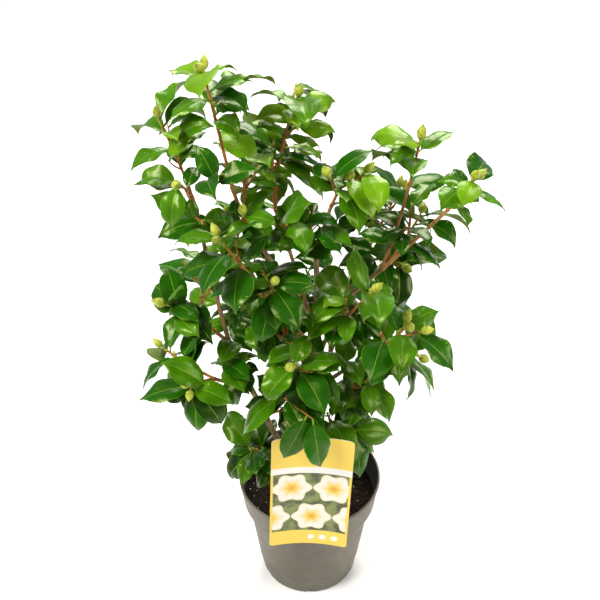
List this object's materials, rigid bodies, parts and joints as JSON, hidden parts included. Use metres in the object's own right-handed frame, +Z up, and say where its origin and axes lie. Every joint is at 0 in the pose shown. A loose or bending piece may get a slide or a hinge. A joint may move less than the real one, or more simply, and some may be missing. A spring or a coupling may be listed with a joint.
{
  "type": "potted camellia shrub",
  "caption": "Bushy evergreen camellia with glossy serrate leaves and plump yellow-green buds, in a round grey-brown nursery pot with a plant label.",
  "frame": {"origin": "centre of the pot's flat underside, on the surface that it stands on", "axes": "+Z up along the pot's axis, -Y the front, where the label hangs over the rim, +X to the right seen from the front"},
  "size_m": [0.4197, 0.3312, 0.771],
  "materials": {
    "pot": "matte moulded",
    "soil": "loose peat and fibre",
    "label": "printed satin",
    "bark": "fine bark",
    "foliage": "glossy leaf"
  },
  "bodies": {
    "root": {"pot": "pot", "soil": "soil", "plant_label": "label", "trunk": "bark", "left_stem": "bark", "left_bough": "bark", "left_bough_upper": "bark", "leader": "bark", "right_bough": "bark", "right_bough_outer": "bark", "right_bough_upper": "bark", "rear_left_high": "bark", "left_stem_upper": "bark", "left_stem_outer": "bark", "left_low_bough": "bark", "front_bough": "bark", "front_left_bough": "bark", "right_low_bough": "bark", "rear_right_bough": "bark", "rear_left_bough": "bark", "rear_low_bough": "bark", "foliage_top": "foliage", "foliage_left_top": "foliage", "foliage_left_high": "foliage", "foliage_left_between": "foliage", "foliage_left_upper_middle": "foliage", "foliage_inner_left_high": "foliage", "foliage_rear_left_high": "foliage", "foliage_top_middle": "foliage", "foliage_centre_high": "foliage", "foliage_right_top": "foliage", "foliage_right_tip": "foliage", "foliage_right_high": "foliage", "foliage_right_inner": "foliage", "foliage_front_right": "foliage", "foliage_front_right_tip": "foliage", "foliage_front_left_inner": "foliage", "foliage_left_inner": "foliage", "foliage_front_left_high": "foliage", "foliage_left_tip": "foliage", "foliage_left_middle": "foliage", "foliage_left_low_tip": "foliage", "foliage_front_left_low": "foliage", "foliage_front_low": "foliage", "foliage_left_heart": "foliage", "foliage_right_low": "foliage", "foliage_foot_right": "foliage", "foliage_foot_left": "foliage", "foliage_rear_right_high": "foliage", "foliage_rear_right_low": "foliage", "foliage_rear_left_top": "foliage", "foliage_rear_left_low": "foliage", "foliage_rear_high": "foliage", "foliage_rear_low": "foliage", "foliage_right_heart": "foliage", "foliage_front_foot": "foliage", "foliage_left_fork": "foliage", "foliage_heart": "foliage", "foliage_centre": "foliage"}
  },
  "joints": []
}
